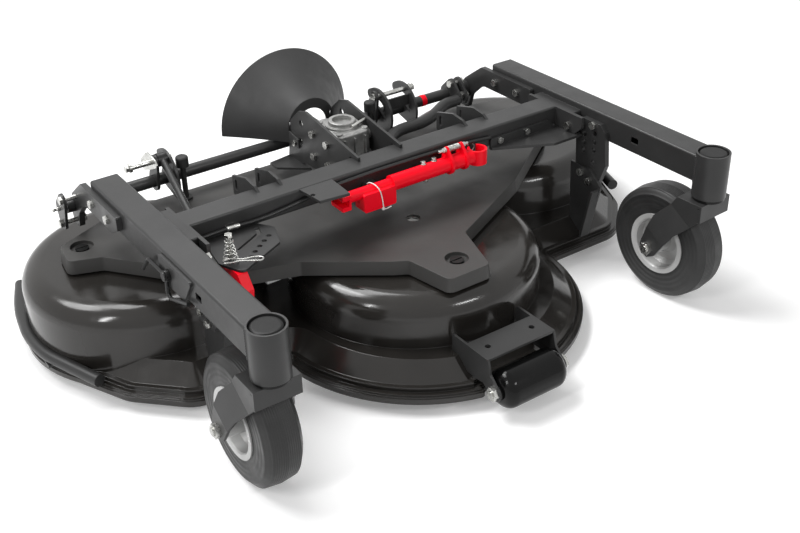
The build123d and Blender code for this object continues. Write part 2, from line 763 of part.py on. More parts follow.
crank_pin = (crank_pin_y, crank_pin_z)
link_start = 416.0
link_gap = 20.0
link_bolts = ((742.0, 302.0), (722.0, 274.0))
neck = ((512, 318), (512, 346), (694, 346), (728, 322), (758, 300), (784, 266), (775, 225), (745, 225),
        (733, 262), (700, 292), (680, 300), (545, 300))
clamp_bolts = ((733, 302), (758, 238))
for side, tag in sides:
    start = -arm_side if side < 0 else arm_inner
    with BuildPart() as bracket:
        extrude(outline(yz(start), neck, 5), amount=-neck_t)
        if side > 0:
            extrude(dots(yz(link_start), [(cross_y, cross_z)], crank_hub_r), amount=start - link_start)
            for x in (link_start, link_start + link_gap):
                with BuildSketch(yz(x)):
                    for spot, reach in (((cross_y, cross_z), 24), ((724, 272), 20), ((742, 300), 15)):
                        with Locations(spot):
                            Circle(reach)
                    make_hull()
                extrude(amount=plate_t)
                extrude(dots(yz(x), link_bolts, 5 + hole_fit), amount=plate_t, mode=Mode.SUBTRACT)
        extrude(dots(yz(start), [(cross_y, cross_z)], cross_r + turn_fit), amount=-120, mode=Mode.SUBTRACT)
        extrude(dots(yz(start), neck_bolts + (clamp_bolts if side < 0 else ()), 5 + hole_fit), amount=-neck_t,
                mode=Mode.SUBTRACT)
        if side < 0:
            with BuildSketch(yz(-582)):
                for spot, reach in (((738, 298), 16), ((cross_y, cross_z), 20), ((756, 242), 17)):
                    with Locations(spot):
                        Circle(reach)
                make_hull()
            extrude(amount=-plate_t)
            extrude(dots(yz(-582), clamp_bolts, 5 + hole_fit), amount=-plate_t, mode=Mode.SUBTRACT)
    done(bracket.part, f"rear_bracket_{tag}")



def crank_arm(x):
    """Straight arm from the cross tube up to the lifting pin."""
    with BuildSketch(yz(x)) as arm:
        with Locations((cross_y, cross_z)):
            Circle(crank_hub_r)
        with Locations(crank_pin):
            Circle(14)
        make_hull()
    return arm.sketch


def crank_claw(x):
    """Curved plate that passes over the pin and around the cross tube."""
    with BuildSketch(yz(x)) as root:
        with Locations((cross_y, cross_z)):
            Circle(crank_hub_r)
        with Locations(crank_low):
            Circle(crank_half)
        make_hull()
    with BuildSketch(yz(x)) as claw:
        add(root.sketch_local)
        with BuildLine():
            ThreePointArc(crank_high, crank_mid, crank_low)
        trace(line_width=2 * crank_half)
        with Locations(crank_high):
            Circle(crank_half)
    return claw.sketch


with BuildPart() as cross_tube:
    extrude(dots(yz(cross_left), [(cross_y, cross_z)], cross_r), amount=cross_right - cross_left)
    for x in (-377, 188):
        extrude(crank_arm(x), amount=plate_t)
    for x in (-348, 204, 276):
        extrude(crank_claw(x), amount=plate_t)
    extrude(outline(xz(crank_pin_y - 14), [(206, 290), (278, 290), (278, 316), (206, 316)]), amount=5)
    extrude(dots(yz(cross_left), [(cross_y, cross_z)], cross_r - 3), amount=cross_right - cross_left,
            mode=Mode.SUBTRACT)
    for x in (-380, 186):
        extrude(dots(yz(x), [crank_pin], crank_pin_r + hole_fit), amount=100, mode=Mode.SUBTRACT)
done(cross_tube.part, "cross_tube")


def pin(start, length, center, radius):
    """Headed pin along X."""
    with BuildPart() as piece:
        extrude(dots(yz(start), [center], radius), amount=length)
        extrude(dots(yz(start), [center], radius + 4), amount=4)
        extrude(dots(yz(start + length - 4), [center], radius + 3), amount=4)
    return piece.part


with BuildPart() as hinge_pins:
    add(pin(-432, 95, crank_pin, crank_pin_r))
    add(pin(184, 107, crank_pin, crank_pin_r))
    add(pin(-440, 46, lever_pin, 5.0))
done(hinge_pins.part, "hinge_pins")

with BuildPart() as lift_rod:
    eye = crank_pin_r + turn_fit
    route = [(-359.5, crank_pin_y - 12, crank_pin_z - 2), (-385, 571, 283), (-395, 490, 266),
             (-406, 400, 270), (-406, lever_pin[0] + 10, lever_pin[1])]
    add(round_bar(route, 8))
    extrude(dots(yz(-370), [crank_pin], 15), amount=21)
    extrude(dots(yz(-370), [crank_pin], eye), amount=21, mode=Mode.SUBTRACT)
    extrude(dots(yz(-413.5), [lever_pin], 12), amount=15)
    extrude(dots(yz(-413.5), [lever_pin], 5 + turn_fit), amount=15, mode=Mode.SUBTRACT)
done(lift_rod.part, "lift_rod")

with BuildPart() as rubber_stops:
    for x in (-318, 168):
        spot = [(x, cross_y - 28)]
        extrude(dots(xy(cover_top + seat_gap), spot, 14), amount=4)
        extrude(dots(xy(cover_top + seat_gap), spot, 6), amount=90)
        extrude(dots(xy(cover_top + 78), spot, 14), amount=24)
    fillet(rubber_stops.faces().sort_by(Axis.Z)[-2:].edges(), 5)
done(rubber_stops.part, "rubber_stops")

with BuildPart() as arch_tube:
    foot = cover_top + seat_gap
    arch = [(147, 604, foot), (147, 604, 250), (160, 645, 257), (205, 676, 257), (300, 680, 256),
            (376, 714, 268), (link_start - seat_gap, 714, 268)]
    add(round_bar(arch, 14))
done(arch_tube.part, "arch_tube")

# Gearbox

gear_half = gear_w / 2
gear_front = gear_y - gear_d / 2
gear_back = gear_y + gear_d / 2
gear_bolts = ((560, 338), (618, 342), (556, 290), (616, 290))
guard_bolt = (692.0, 296.0)
with BuildPart() as gearbox_housing:
    with BuildSketch(xy(gear_low)):
        with Locations((0, gear_y)):
            RectangleRounded(gear_w, gear_d, 14)
    extrude(amount=gear_top - gear_low)
    fillet(gearbox_housing.faces().sort_by(Axis.Z)[-1].edges(), 7)
    extrude(dots(xy(gear_top - 2), [(0, gear_y)], 37), amount=7)
    extrude(dots(xy(gear_top), [(0, gear_y)], 30), amount=14)
    fillet(gearbox_housing.faces().sort_by(Axis.Z)[-1].edges(), 2)
    extrude(dots(xy(gear_top + 4), [(0, gear_y)], 21), amount=10, mode=Mode.SUBTRACT)
    corners = [(x, gear_y + y) for x in (-32, 32) for y in (-40, 40)]
    extrude(dots(xy(gear_top - 6), corners, 7), amount=8)
    for x in (-26, 0, 26):
        extrude(outline(xz(gear_front + 1), [(x - 2, gear_low + 14), (x + 2, gear_low + 14), (x + 2, gear_top - 12),
                                             (x - 2, gear_top - 12)]), amount=5)
    extrude(dots(xy(228), [(0, gear_y)], 30), amount=gear_low - 226)
    extrude(dots(xz(gear_back - 2), [(0, input_z)], 32), amount=-32)
    for side, _ in sides:
        extrude(dots(yz(side * (gear_half - 2)), gear_bolts, 12), amount=side * (bracket_in - gear_half + 2))
        extrude(dots(yz(side * bracket_in), gear_bolts, 5 + hole_fit), amount=-side * 22, mode=Mode.SUBTRACT)
    extrude(dots(xy(228), [(0, gear_y)], output_r + turn_fit), amount=70, mode=Mode.SUBTRACT)
    extrude(dots(xz(gear_back + 30), [(0, input_z)], input_r + turn_fit), amount=75, mode=Mode.SUBTRACT)
done(gearbox_housing.part, "gearbox_housing")

with BuildPart() as gearbox_output:
    low = drive_belt_z - pulley_h / 2 - pulley_edge / 2
    extrude(dots(xy(low), [(0, gear_y)], output_r), amount=295 - low)
    extrude(dots(xy(low - 9.5), [(0, gear_y)], 8), amount=12)
done(gearbox_output.part, "gearbox_output")

with BuildPart() as drive_pulley:
    extrude(dots(xy(low), [(0, gear_y)], drive_pulley_r), amount=pulley_h + pulley_edge)
    add(pulley_grooves((0, gear_y), drive_pulley_r, [drive_belt_z]), mode=Mode.SUBTRACT)
    extrude(dots(xy(low), [(0, gear_y)], output_r + turn_fit), amount=20, mode=Mode.SUBTRACT)
    with BuildSketch(xy(low - 8)):
        with Locations((0, gear_y)):
            RegularPolygon(17, 6, major_radius=False)
            Circle(8 + turn_fit, mode=Mode.SUBTRACT)
    extrude(amount=8 - turn_fit)
done(drive_pulley.part, "drive_pulley")

with BuildPart() as input_shaft:
    extrude(dots(xz(gear_back - 30), [(0, input_z)], input_r), amount=-68)
    with BuildSketch(xz(gear_back + 38)):
        with Locations((0, input_z)):
            Circle(input_r - 3)
            with PolarLocations(input_r - 3, 6):
                Rectangle(6, 6)
    extrude(amount=-66)
    fillet(input_shaft.faces().sort_by(Axis.Y)[-1].edges(), 0.8)
done(input_shaft.part, "input_shaft")

with BuildPart() as gearbox_plates:
    rear = beam_y + beam_w / 2
    cheek = [(438, beam_top), (438, 353), (646, 385), (676, 377), (716, 342), (734, 244), (700, 244),
             (650, 258), (510, 262), (rear + 4, 292), (rear + 4, beam_top)]
    for side, _ in sides:
        extrude(outline(yz(side * bracket_in), cheek), amount=side * plate_t)
        extrude(dots(yz(side * bracket_in), gear_bolts, 5 + hole_fit), amount=side * plate_t, mode=Mode.SUBTRACT)
        extrude(dots(yz(side * bracket_in), [guard_bolt], 4 + hole_fit), amount=side * plate_t,
                mode=Mode.SUBTRACT)
        extrude(dots(yz(side * bracket_in), [(667, 350), (673, 304)], 8), amount=side * plate_t,
                mode=Mode.SUBTRACT)
        foot = [(side * (bracket_in + 2), 640), (side * 112, 690), (side * 112, 722),
                (side * (bracket_in + 2), 732)]
        extrude(outline(xy(246), foot), amount=5)
done(gearbox_plates.part, "gearbox_plates")

guard_half = bracket_in + plate_t + seat_gap + guard_sheet
guard_rings = ((718.0, guard_half, 318.0), (774.0, 104.0, 304.0), (843.0, 167.0, 291.0))
guard_mouth_r = 40.0


def arch_form(inset):
    """Flaring arch through the sections of the guard."""
    sections = []
    for y, half, spring in guard_rings:
        r = half - inset
        low = guard_low - (5 if inset else 0)
        with BuildSketch(xz(y)) as section:
            with BuildLine():
                Polyline((-r, spring), (-r, low), (r, low), (r, spring))
                ThreePointArc((-r, spring), (0, spring + r), (r, spring))
            make_face()
        sections.append(section.sketch)
    with BuildPart() as form:
        loft(sections)
    return form.part


with BuildPart() as pto_guard:
    add(arch_form(0))
    add(arch_form(guard_sheet), mode=Mode.SUBTRACT)
    front_ring = guard_rings[0]
    extrude(dots(xz(front_ring[0]), [(0, front_ring[2])], guard_half - 1), amount=-guard_sheet)
    extrude(outline(xz(front_ring[0]), [(1 - guard_half, guard_low), (guard_half - 1, guard_low),
                                        (guard_half - 1, front_ring[2]), (1 - guard_half, front_ring[2])]),
            amount=-guard_sheet)
    extrude(dots(xz(front_ring[0]), [(0, input_z)], guard_mouth_r), amount=-guard_sheet, mode=Mode.SUBTRACT)
    for side, _ in sides:
        notch = [(side * (bracket_in - seat_gap), 280), (side * (bracket_in + plate_t + seat_gap), 280),
                 (side * (bracket_in + plate_t + seat_gap), 336), (side * (bracket_in - seat_gap), 336)]
        extrude(outline(xz(front_ring[0] - 1), notch), amount=-2 * guard_sheet, mode=Mode.SUBTRACT)
    extrude(outline(xz(front_ring[0]), [(-100, guard_low - 60), (100, guard_low - 60), (100, guard_low),
                                        (-100, guard_low)]), amount=-guard_sheet, mode=Mode.SUBTRACT)
    for side, _ in sides:
        ear = [(678, guard_low), (720, guard_low), (720, 316), (678, 308)]
        extrude(outline(yz(side * guard_half), ear), amount=-side * guard_sheet)
        extrude(dots(yz(side * guard_half), [guard_bolt], 4 + hole_fit), amount=-side * guard_sheet,
                mode=Mode.SUBTRACT)
done(pto_guard.part, "pto_guard")

# Red strut stored in front of the beam

strut_y = 375.0
strut_z = 309.0
strut_rod_r = 12.0
strut_sleeve_r = 17.0
strut_step = -20.0
strut_end = 190.0
cuff_x = 207.0
cuff_low = 291.0
cuff_h = 33.0
cuff_r = 21.5
cuff_bore_r = 16.5
ear_t = 6.0
ear_places = (126.0, 164.0)
with BuildPart() as strut_tube:
    extrude(dots(yz(-150), [(strut_y, strut_z)], strut_rod_r), amount=135)
    extrude(dots(yz(strut_step), [(strut_y, strut_z)], strut_sleeve_r), amount=strut_end - strut_step)
    extrude(outline(xz(strut_y + 14), [(-97, 272), (-19, 272), (-19, 312), (-97, 312)], 5), amount=34)
    extrude(outline(xy(strut_z - 16), [(-150, 352), (-128, 352), (-128, 398), (-150, 398)], 3), amount=32)
    extrude(outline(xz(400), [(-152, 302), (-134, 302), (-134, 316), (-152, 316)]), amount=60,
            mode=Mode.SUBTRACT)
    for x in ear_places:
        with BuildSketch(yz(x)):
            with Locations((strut_y, strut_z)):
                Circle(strut_sleeve_r + 5)
            with Locations((strut_y + 6, strut_z + 31)):
                Circle(7)
            make_hull()
        extrude(amount=ear_t)
        extrude(dots(yz(x), [(strut_y + 6, strut_z + 31)], 3.5 + hole_fit), amount=ear_t, mode=Mode.SUBTRACT)
    extrude(dots(xy(cuff_low), [(cuff_x, strut_y)], cuff_r), amount=cuff_h)
    extrude(dots(xy(cuff_low), [(cuff_x, strut_y)], cuff_bore_r), amount=cuff_h, mode=Mode.SUBTRACT)
    extrude(outline(xy(cuff_low), [(cuff_x - 9, strut_y), (cuff_x + 10, strut_y), (cuff_x + 10, strut_y + 30),
                                   (cuff_x - 9, strut_y + 30)]), amount=cuff_h, mode=Mode.SUBTRACT)
done(strut_tube.part, "strut_tube")

# Cable from the lever to the right gusset

with BuildPart() as height_cable:
    cable_y = front - 4 - seat_gap
    run = [(-435, cable_y, 313), (-380, cable_y, 315), (-310, cable_y, 311), (-240, cable_y, 318),
           (-150, cable_y, 331), (-40, cable_y, 334), (80, cable_y, 333), (190, cable_y, 330), (262, cable_y, 324)]
    add(round_bar(run, 4))
done(height_cable.part, "height_cable")

# Roller at the front edge

roller_spot = (roller_y, roller_z)
bracket_half = roller_plate_in + roller_plate_t
with BuildPart() as roller_bracket:
    cheek = [(-22, roller_top), (86, roller_top), (86, 60), (10, 60), (-10, 62), (-34, 44), (-52, 44),
             (-58, 57), (-52, 70), (-30, 90)]
    for side, _ in sides:
        x = roller_x + side * roller_plate_in
        extrude(outline(yz(x), cheek, 4), amount=side * roller_plate_t)
        extrude(dots(yz(x), [roller_spot], 17), amount=side * roller_plate_t)
    with BuildSketch(xy(roller_top - roller_plate_t)):
        with Locations((roller_x, 11)):
            Rectangle(2 * bracket_half, 66)
        with Locations((roller_x - 54, 13), (roller_x + 54, 13)):
            Circle(6, mode=Mode.SUBTRACT)
    extrude(amount=roller_plate_t)
    extrude(dots(yz(roller_x - 100), [roller_spot], roller_axle_r + turn_fit), amount=200, mode=Mode.SUBTRACT)
    add(skirt_form(0), mode=Mode.SUBTRACT)
done(roller_bracket.part, "roller_bracket")

with BuildPart() as roller_axle:
    extrude(dots(yz(roller_x - bracket_half - 11), [roller_spot], roller_axle_r), amount=2 * bracket_half + 22)
    for start in (roller_x - bracket_half - 8, roller_x + bracket_half):
        with BuildSketch(yz(start)):
            with Locations(roller_spot):
                RegularPolygon(13, 6, major_radius=False)
        extrude(amount=8)
done(roller_axle.part, "roller_axle")

with BuildPart() as roller:
    extrude(dots(yz(roller_x - roller_half), [roller_spot], roller_r), amount=2 * roller_half)
    fillet(roller.edges().filter_by(GeomType.CIRCLE), roller_end)
    extrude(dots(yz(roller_x - roller_half - 3), [roller_spot], 14), amount=2 * roller_half + 6)
    extrude(dots(yz(roller_x - 100), [roller_spot], roller_axle_r + turn_fit), amount=200, mode=Mode.SUBTRACT)
done(roller.part, "roller")

with BuildPart() as latch_rod:
    rod_x = -arm_side - plate_t - (latch_reach - plate_t) / 2
    eye_start = -arm_side - plate_t - run_gap
    extrude(dots(yz(eye_start), [latch_at], 11), amount=-(latch_reach - plate_t - 2 * run_gap))
    add(round_bar([(rod_x, 300, 325), (rod_x, 371, 324), (rod_x, 405, 287)], 3.8, 12))
    add(round_bar([(rod_x, 296, 320), (rod_x, 300, 277), (rod_x, 210, 309)], 3.8, 12))
    extrude(dots(yz(-arm_side - plate_t), [latch_at], latch_pin_r + turn_fit), amount=-20, mode=Mode.SUBTRACT)
done(latch_rod.part, "latch_rod")

# Casters


def caster_plane(side):
    """Plan frame of one caster, turned by its swivel angle at rest."""
    turn = radians(right_swivel) if side > 0 else 0.0
    return Plane(origin=(side * arm_x, 0, 0), x_dir=(cos(turn), sin(turn), 0), z_dir=(0, 0, 1))


def side_on(base, x):
    """Plane across a caster's axle, drawn with its trail to the right and Z up."""
    return Plane(origin=base.from_local_coords((x, 0, 0)), x_dir=base.y_dir, z_dir=base.x_dir)


leg_len = hypot(trail, fork_top - wheel_r)
lean = (trail / leg_len, (wheel_r - fork_top) / leg_len)
splay = ((0, fork_half), (50, fork_half), (125, leg_half), (leg_len + 25, leg_half))
fork_side = ((-20, fork_top), (42, fork_top), (58, 238), (88, 205), (111, 132), (108, 113), (90, 104),
             (72, 114), (36, 172), (-16, 224))

for side, tag in sides:
    base = caster_plane(side)
    axle_at = [(trail, wheel_r)]

    with BuildPart() as caster_fork:
        strap_plane = Plane(origin=base.from_local_coords((0, 0, fork_top)), x_dir=base.x_dir,
                            z_dir=base.x_dir.cross(Vector(*(base.y_dir * lean[0] + base.z_dir * lean[1]))))
        outer = [(half, s) for s, half in splay]
        extrude(outline(strap_plane, outer + [(-x, s) for x, s in reversed(outer)]), amount=200, both=True)
        inner = [(half - fork_sheet, s) for s, half in splay]
        inner[0] = (inner[0][0], fork_sheet)
        inner[-1] = (inner[-1][0], leg_len + 30)
        extrude(outline(strap_plane, inner + [(-x, s) for x, s in reversed(inner)]), amount=200, both=True,
                mode=Mode.SUBTRACT)
        extrude(outline(side_on(base, -leg_half - 5), fork_side), amount=2 * leg_half + 10, mode=Mode.INTERSECT)
        plate = [(-20, fork_top - fork_sheet), (42, fork_top - fork_sheet), (42, fork_top), (-20, fork_top)]
        extrude(outline(side_on(base, -fork_half), plate), amount=2 * fork_half)
        lip = [(-20, 224), (-14, 224), (-14, fork_top), (-20, fork_top)]
        extrude(outline(side_on(base, -fork_half), lip), amount=2 * fork_half)
        with BuildSketch(base.offset(fork_top - fork_sheet)):
            Circle(stem_r)
        extrude(amount=bush_top + 6.5 - fork_top + fork_sheet)
        with BuildSketch(base.offset(bush_top + run_gap)):
            Circle(stem_r)
            Circle(stem_r - 3, mode=Mode.SUBTRACT)
        extrude(amount=ring_t + 2 * turn_fit, mode=Mode.SUBTRACT)
        with BuildSketch(base.offset(bush_top + run_gap + turn_fit)):
            Circle(caster_bore_r - 5)
            Circle(stem_r - 3 + turn_fit, mode=Mode.SUBTRACT)
        extrude(amount=ring_t)
        extrude(dots(side_on(base, -100), axle_at, axle_r + turn_fit), amount=200, mode=Mode.SUBTRACT)
    done(caster_fork.part, f"caster_fork_{tag}")

    with BuildPart() as caster_axle:
        extrude(dots(side_on(base, -leg_half - 12), axle_at, axle_r), amount=2 * leg_half + 24)
        for start, way in ((leg_half, 1), (-leg_half, -1)):
            with BuildSketch(side_on(base, start)):
                with Locations(*axle_at):
                    RegularPolygon(12.5, 6, major_radius=False)
            extrude(amount=way * 9)
    done(caster_axle.part, f"caster_axle_{tag}")


    wheel_plane = Plane(origin=base.from_local_coords((0, trail, wheel_r)), x_dir=base.x_dir, z_dir=base.y_dir * -1)
    wheel_axis = Axis(origin=tuple(base.from_local_coords((0, trail, wheel_r))), direction=tuple(base.x_dir))

    with BuildPart() as wheel_rim:
        hub = leg_half - fork_sheet - run_gap
        half = [(0, axle_r + turn_fit), (hub, axle_r + turn_fit), (hub, 19), (14, 22), (5, 30), (5, barrel_r - 12),
                (16, barrel_r - 5), (rim_half - 3, barrel_r - 5), (rim_half, barrel_r - 2), (rim_half, rim_r),
                (rim_half - 3, rim_r), (rim_half - 3, barrel_r), (0, barrel_r)]
        with BuildSketch(wheel_plane):
            with BuildLine():
                Polyline(*half, close=True)
            make_face()
            mirror(about=Plane.YZ)
        revolve(axis=wheel_axis)
    done(wheel_rim.part, f"wheel_rim_{tag}")

    with BuildPart() as wheel_tyre:
        bead = barrel_r + turn_fit
        wall = rim_half - 3 - turn_fit
        with BuildSketch(wheel_plane) as section:
            with BuildLine():
                Polyline((-wall, bead), (wall, bead), (wall, bead + 10), (tyre_half, bead + 26),
                         (tyre_half, wheel_r - 16), (tyre_half - 10, wheel_r - 3), (0, wheel_r),
                         (-tyre_half + 10, wheel_r - 3), (-tyre_half, wheel_r - 16), (-tyre_half, bead + 26),
                         (-wall, bead + 10), close=True)
            make_face()
            with BuildLine():
                Polyline((-wall + tyre_wall, bead - 1), (wall - tyre_wall, bead - 1),
                         (wall - tyre_wall, bead + 12), (tyre_half - tyre_wall, bead + 28),
                         (tyre_half - tyre_wall - 3, wheel_r - 22), (0, wheel_r - 14),
                         (-tyre_half + tyre_wall + 3, wheel_r - 22), (-tyre_half + tyre_wall, bead + 28),
                         (-wall + tyre_wall, bead + 12), close=True)
            make_face(mode=Mode.SUBTRACT)
        revolve(axis=wheel_axis)
    done(wheel_tyre.part, f"wheel_tyre_{tag}")

# Bolts

with BuildPart() as hex_bolts:
    (y, z), (low_y, low_z) = link_bolts
    add(hex_bolt((link_start, y, z), (1, 0, 0), link_gap + plate_t))
    add(hex_bolt((link_start + link_gap, low_y, low_z), (1, 0, 0), plate_t))
    for side, _ in sides:
        inner = side * beam_half
        for y, z in pad_bolts:
            add(hex_bolt((inner, y, z), (side, 0, 0), end_plate_t + pad_gap, nut=False))
        for y, z in gear_bolts:
            add(hex_bolt((side * (bracket_in + plate_t), y, z), (-side, 0, 0), plate_t + 20, nut=False))
        for y, z in neck_bolts:
            start = -arm_side - neck_t if side < 0 else arm_inner - neck_t
            add(hex_bolt((start, y, z), (1, 0, 0), neck_t + arm_w))
        for y, z in height_top_bolts:
            start = side * (arm_inner - height_plate_t)
            add(hex_bolt((start, y, z), (side, 0, 0), height_plate_t + arm_wall - 0.5, nut=False))
        for y, z in height_bolts:
            start = side * (arm_inner - height_plate_t - seat_gap - plate_t)
            add(hex_bolt((start, y, z), (side, 0, 0), height_plate_t + seat_gap + plate_t))
        y, z = guard_bolt
        add(hex_bolt((side * guard_half, y, z), (-side, 0, 0), guard_sheet + seat_gap + plate_t, 8))
    for y, z in clamp_bolts:
        add(hex_bolt((-582 - plate_t, y, z), (1, 0, 0), 582 + plate_t - arm_side))
    for x in (289, 366):
        add(hex_bolt((x, front - plate_t, 311), (0, 1, 0), plate_t, 8, nut=False))
    add(hex_bolt((lever_bolt[0], lever_bolt[1], 355), (0, 0, -1), 100, 8, nut=False))
done(hex_bolts.part, "hex_bolts")
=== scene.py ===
"""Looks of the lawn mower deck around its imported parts. Lengths are metres in the part's own frame."""

import json
import math

import bpy
import bmesh
from mathutils import Matrix, Vector


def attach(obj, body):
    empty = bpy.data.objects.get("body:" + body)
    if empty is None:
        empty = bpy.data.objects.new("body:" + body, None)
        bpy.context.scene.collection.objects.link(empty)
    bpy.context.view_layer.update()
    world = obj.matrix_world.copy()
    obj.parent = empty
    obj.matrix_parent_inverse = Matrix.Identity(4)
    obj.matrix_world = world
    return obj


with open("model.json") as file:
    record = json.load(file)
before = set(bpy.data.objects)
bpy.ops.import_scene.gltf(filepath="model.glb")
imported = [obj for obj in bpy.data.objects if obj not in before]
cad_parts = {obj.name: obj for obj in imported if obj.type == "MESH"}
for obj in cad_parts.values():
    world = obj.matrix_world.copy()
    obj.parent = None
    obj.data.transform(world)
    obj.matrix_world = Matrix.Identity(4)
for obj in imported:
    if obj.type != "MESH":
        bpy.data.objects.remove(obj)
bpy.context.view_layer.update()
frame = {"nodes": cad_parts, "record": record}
nodes = frame["nodes"]
record = frame["record"]

for name in ("Cube", "Light", "Camera"):
    if name in bpy.data.objects:
        bpy.data.objects.remove(bpy.data.objects[name])

MM = 0.001
DRAWN_ABOUT = Vector((16.0, 413.0, 0.0))
SIDES = ((-1, "left"), (1, "right"))

# Places of the CAD drawing that come back here, in its millimetres

ARM_X = 515
ARM_HALF = 30
WHEEL_CENTRE = (90, 127)
HEIGHT_PIN = (-424, 305)
STRUT_SCREW = (381, 340)
CROSS_TUBE = (760, 271)
CRANK_PIN = (744, 324)


def at(x, y, z):
    """Point of the CAD drawing, in millimetres about the caster tubes, in the part's frame."""
    return (Vector((x, y, z)) - DRAWN_ABOUT) * MM


# Camera

PHOTO_WIDTH = 800.0
PHOTO_HEIGHT = 533.0
FOCAL_PX = 1127.27
CENTRE_PX = (387.17, 236.98)
SENSOR = 36.0
EYE = at(-1171.80, -1336.62, 1357.69)
RIGHT = Vector((0.82336, -0.56688, -0.02687))
UP = Vector((0.29989, 0.39439, 0.86863))
BACK = Vector((-0.48182, -0.72326, 0.49473))

lens = bpy.data.cameras.new("camera")
camera = bpy.data.objects.new("camera", lens)
bpy.context.scene.collection.objects.link(camera)
turn = Matrix((RIGHT, UP, BACK)).transposed().to_4x4()
camera.matrix_world = Matrix.Translation(EYE) @ turn
lens.sensor_width = SENSOR
lens.lens = FOCAL_PX / PHOTO_WIDTH * SENSOR
lens.shift_x = (PHOTO_WIDTH / 2 - CENTRE_PX[0]) / PHOTO_WIDTH
lens.shift_y = (CENTRE_PX[1] - PHOTO_HEIGHT / 2) / PHOTO_WIDTH
lens.clip_end = 50.0
bpy.context.scene.camera = camera
bpy.context.scene.view_settings.view_transform = "Standard"


# Materials

SKIN_DEPTH = 0.0004
MARK_DEPTH = 0.0003
SAND_DEPTH = 0.0006
RIB_DEPTH = 0.0007

METAL_EDGE = 0.0008
BROAD_EDGE = 0.002

TYRE_WALL_RADIUS = 0.1205
TYRE_TREAD_RADIUS = 0.1225
TREAD_GROOVE_PITCH = 0.0042
WALL_RING_PITCH = 0.0105


def grey(value):
    """Neutral colour of one value."""
    return value, value, value


class Shader:
    """Node tree of one material, with short calls for the nodes that the finishes share."""

    def __init__(self, name):
        self.material = bpy.data.materials.new(name)
        self.material.use_nodes = True
        self.tree = self.material.node_tree
        self.bsdf = self.tree.nodes["Principled BSDF"]
        self.place = self.node("ShaderNodeTexCoord").outputs["Object"]

    def node(self, kind, **inputs):
        made = self.tree.nodes.new(kind)
        for key, value in inputs.items():
            made.inputs[key].default_value = value
        return made

    def link(self, start, end):
        self.tree.links.new(start, end)

    def noise(self, scale, detail=3.0, rough=0.5, place=None):
        made = self.node("ShaderNodeTexNoise", Scale=scale, Detail=detail, Roughness=rough)
        self.link(place or self.place, made.inputs["Vector"])
        return made.outputs["Fac"]

    def stretched(self, scale):
        made = self.node("ShaderNodeMapping", Scale=scale)
        self.link(self.place, made.inputs["Vector"])
        return made.outputs["Vector"]

    def ramp(self, source, low, high, start=0.3, end=0.7):
        made = self.node("ShaderNodeMapRange")
        made.inputs["From Min"].default_value = start
        made.inputs["From Max"].default_value = end
        made.inputs["To Min"].default_value = low
        made.inputs["To Max"].default_value = high
        self.link(source, made.inputs["Value"])
        return made.outputs["Result"]

    def maths(self, operation, first, second=0.0):
        made = self.node("ShaderNodeMath")
        made.operation = operation
        self.link(first, made.inputs[0])
        if isinstance(second, float):
            made.inputs[1].default_value = second
        else:
            self.link(second, made.inputs[1])
        return made.outputs[0]

    def mottled(self, source, first, second):
        made = self.node("ShaderNodeMix")
        made.data_type = "RGBA"
        made.inputs["A"].default_value = (*first, 1.0)
        made.inputs["B"].default_value = (*second, 1.0)
        self.link(self.ramp(source, 0.0, 1.0), made.inputs["Factor"])
        self.link(made.outputs["Result"], self.bsdf.inputs["Base Color"])

    def roughness(self, source, low, high):
        self.link(self.ramp(source, low, high), self.bsdf.inputs["Roughness"])

    def bump(self, source, strength, distance, normal):
        made = self.node("ShaderNodeBump", Strength=strength, Distance=distance)
        self.link(source, made.inputs["Height"])
        self.link(normal, made.inputs["Normal"])
        self.link(made.outputs["Normal"], self.bsdf.inputs["Normal"])
        return made.outputs["Normal"]

    def rounded(self, radius):
        made = self.node("ShaderNodeBevel", Radius=radius)
        made.samples = 4
        return made.outputs["Normal"]


def paint(name, color, light, rough, grain=900.0, grain_depth=0.12, edge=0.0012, gloss=0.3):
    """Paint on steel: an even coat with a fine skin, slightly uneven gloss and rounded edges."""
    skin = Shader(name)
    skin.mottled(skin.noise(9.0, 4.0), color, light)
    skin.roughness(skin.noise(26.0, 5.0, 0.6), rough - 0.05, rough + 0.07)
    skin.bump(skin.noise(grain, 2.0), grain_depth, SKIN_DEPTH, skin.rounded(edge))
    skin.bsdf.inputs["Specular IOR Level"].default_value = gloss
    return skin.material


def metal(name, color, dark, rough, streak=(1.0, 1.0, 1.0)):
    """Bare or plated metal with fine marks and dull patches."""
    skin = Shader(name)
    skin.bsdf.inputs["Metallic"].default_value = 1.0
    marks = skin.noise(160.0, 4.0, 0.6, skin.stretched(streak))
    skin.mottled(skin.noise(55.0, 4.0), color, dark)
    skin.roughness(marks, rough - 0.08, rough + 0.12)
    skin.bump(marks, 0.15, MARK_DEPTH, skin.rounded(METAL_EDGE))
    return skin.material


def cast(name, color, dark, rough):
    """Raw casting with a sandy skin and darker patches at random."""
    skin = Shader(name)
    skin.bsdf.inputs["Metallic"].default_value = 0.75
    skin.mottled(skin.noise(38.0, 6.0, 0.7), color, dark)
    skin.roughness(skin.noise(120.0, 4.0), rough - 0.08, rough + 0.1)
    skin.bump(skin.noise(620.0, 5.0, 0.7), 0.35, SAND_DEPTH, skin.rounded(BROAD_EDGE))
    return skin.material


def moulded(name, color, light, rough, gloss):
    """Colour, roughness and gloss of plastic or rubber, before its relief."""
    skin = Shader(name)
    skin.mottled(skin.noise(14.0, 5.0, 0.6), color, light)
    skin.roughness(skin.noise(40.0, 4.0), rough - 0.06, rough + 0.08)
    skin.bsdf.inputs["Specular IOR Level"].default_value = gloss
    return skin


